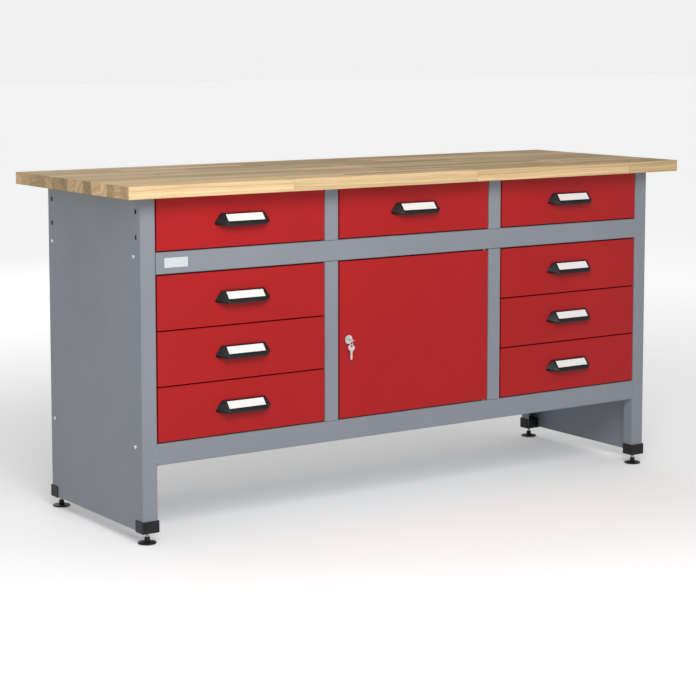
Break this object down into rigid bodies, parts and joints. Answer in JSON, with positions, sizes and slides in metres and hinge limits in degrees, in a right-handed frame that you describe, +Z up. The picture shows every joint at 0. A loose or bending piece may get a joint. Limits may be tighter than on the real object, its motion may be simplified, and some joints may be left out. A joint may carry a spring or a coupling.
{
  "type": "workbench with drawers",
  "caption": "Steel workbench with an edge-glued wooden worktop, sliding drawers in outer columns and along the top, a lockable hinged cupboard in the middle, and levelling feet.",
  "frame": {"origin": "on the floor, under the centre of the worktop", "axes": "+X to the right along the bench seen from the front, -Y out of the drawer fronts, +Z up"},
  "size_m": [1.7, 0.6, 0.85],
  "materials": {
    "wood_top": "oiled, edge-glued staves",
    "grey_steel": "satin blue-grey powder coat",
    "red_steel": "satin red powder coat",
    "black_plastic": "fine moulded texture",
    "zinc": "bright zinc plating"
  },
  "bodies": {
    "bench_frame": {"worktop": "wood_top", "back_panel": "grey_steel", "floor_panel": "grey_steel", "front_rail_middle": "grey_steel", "front_rail_bottom": "grey_steel", "cupboard_shelf": "grey_steel", "side_panel_left": "grey_steel", "side_panel_right": "grey_steel", "divider_left": "grey_steel", "divider_right": "grey_steel", "runner_rack_left_bay_left": "grey_steel", "runner_rack_left_bay_right": "grey_steel", "runner_rack_centre_bay_left": "grey_steel", "runner_rack_centre_bay_right": "grey_steel", "runner_rack_right_bay_left": "grey_steel", "runner_rack_right_bay_right": "grey_steel", "foot_cap_front_left": "black_plastic", "foot_cap_back_left": "black_plastic", "foot_cap_front_right": "black_plastic", "foot_cap_back_right": "black_plastic", "hinge_pin_lower": "zinc", "hinge_pin_upper": "zinc"},
    "drawer_left_top": {"drawer_box_left_top": "grey_steel", "drawer_front_left_top": "red_steel", "drawer_handle_left_top": "black_plastic"},
    "drawer_left_lower": {"drawer_box_left_lower": "grey_steel", "drawer_front_left_lower": "red_steel", "drawer_handle_left_lower": "black_plastic"},
    "drawer_left_middle": {"drawer_box_left_middle": "grey_steel", "drawer_front_left_middle": "red_steel", "drawer_handle_left_middle": "black_plastic"},
    "drawer_left_upper": {"drawer_box_left_upper": "grey_steel", "drawer_front_left_upper": "red_steel", "drawer_handle_left_upper": "black_plastic"},
    "drawer_centre_top": {"drawer_box_centre_top": "grey_steel", "drawer_front_centre_top": "red_steel", "drawer_handle_centre_top": "black_plastic"},
    "drawer_right_top": {"drawer_box_right_top": "grey_steel", "drawer_front_right_top": "red_steel", "drawer_handle_right_top": "black_plastic"},
    "drawer_right_lower": {"drawer_box_right_lower": "grey_steel", "drawer_front_right_lower": "red_steel", "drawer_handle_right_lower": "black_plastic"},
    "drawer_right_middle": {"drawer_box_right_middle": "grey_steel", "drawer_front_right_middle": "red_steel", "drawer_handle_right_middle": "black_plastic"},
    "drawer_right_upper": {"drawer_box_right_upper": "grey_steel", "drawer_front_right_upper": "red_steel", "drawer_handle_right_upper": "black_plastic"},
    "door": {"door": "red_steel", "lock_housing": "zinc", "key_ring": "zinc"},
    "lock": {"lock_plug": "zinc", "lock_cam": "zinc", "lock_key": "zinc"},
    "spare_key": {"spare_key": "zinc"},
    "foot_front_left": {"levelling_foot_front_left": "black_plastic"},
    "foot_back_left": {"levelling_foot_back_left": "black_plastic"},
    "foot_front_right": {"levelling_foot_front_right": "black_plastic"},
    "foot_back_right": {"levelling_foot_back_right": "black_plastic"}
  },
  "joints": [
    {"name": "drawer_left_top_slide", "type": "slide", "parent": "bench_frame", "child": "drawer_left_top", "axis": [0, -1, 0], "range_m": [0, 0.33]},
    {"name": "drawer_left_lower_slide", "type": "slide", "parent": "bench_frame", "child": "drawer_left_lower", "axis": [0, -1, 0], "range_m": [0, 0.33]},
    {"name": "drawer_left_middle_slide", "type": "slide", "parent": "bench_frame", "child": "drawer_left_middle", "axis": [0, -1, 0], "range_m": [0, 0.33]},
    {"name": "drawer_left_upper_slide", "type": "slide", "parent": "bench_frame", "child": "drawer_left_upper", "axis": [0, -1, 0], "range_m": [0, 0.33]},
    {"name": "drawer_centre_top_slide", "type": "slide", "parent": "bench_frame", "child": "drawer_centre_top", "axis": [0, -1, 0], "range_m": [0, 0.33]},
    {"name": "drawer_right_top_slide", "type": "slide", "parent": "bench_frame", "child": "drawer_right_top", "axis": [0, -1, 0], "range_m": [0, 0.33]},
    {"name": "drawer_right_lower_slide", "type": "slide", "parent": "bench_frame", "child": "drawer_right_lower", "axis": [0, -1, 0], "range_m": [0, 0.33]},
    {"name": "drawer_right_middle_slide", "type": "slide", "parent": "bench_frame", "child": "drawer_right_middle", "axis": [0, -1, 0], "range_m": [0, 0.33]},
    {"name": "drawer_right_upper_slide", "type": "slide", "parent": "bench_frame", "child": "drawer_right_upper", "axis": [0, -1, 0], "range_m": [0, 0.33]},
    {"name": "door_hinge", "type": "hinge", "parent": "bench_frame", "child": "door", "pos_m": [0.22667, -0.233, 0.4375], "axis": [0, 0, 1], "range_deg": [0, 90]},
    {"name": "lock_turn", "type": "hinge", "parent": "door", "child": "lock", "pos_m": [-0.20797, -0.24, 0.4384], "axis": [0, -1, 0], "range_deg": [0, 90]},
    {"name": "spare_key_swing", "type": "hinge", "parent": "door", "child": "spare_key", "pos_m": [-0.21276, -0.26206, 0.42476], "axis": [-0.848, -0.5299, 0], "range_deg": [-25, 25]},
    {"name": "foot_front_left_turn", "type": "hinge", "parent": "bench_frame", "child": "foot_front_left", "pos_m": [-0.77, -0.222, 0.02], "axis": [0, 0, 1], "continuous": true},
    {"name": "foot_back_left_turn", "type": "hinge", "parent": "bench_frame", "child": "foot_back_left", "pos_m": [-0.77, 0.229, 0.02], "axis": [0, 0, 1], "continuous": true},
    {"name": "foot_front_right_turn", "type": "hinge", "parent": "bench_frame", "child": "foot_front_right", "pos_m": [0.77, -0.222, 0.02], "axis": [0, 0, 1], "continuous": true},
    {"name": "foot_back_right_turn", "type": "hinge", "parent": "bench_frame", "child": "foot_back_right", "pos_m": [0.77, 0.229, 0.02], "axis": [0, 0, 1], "continuous": true}
  ]
}
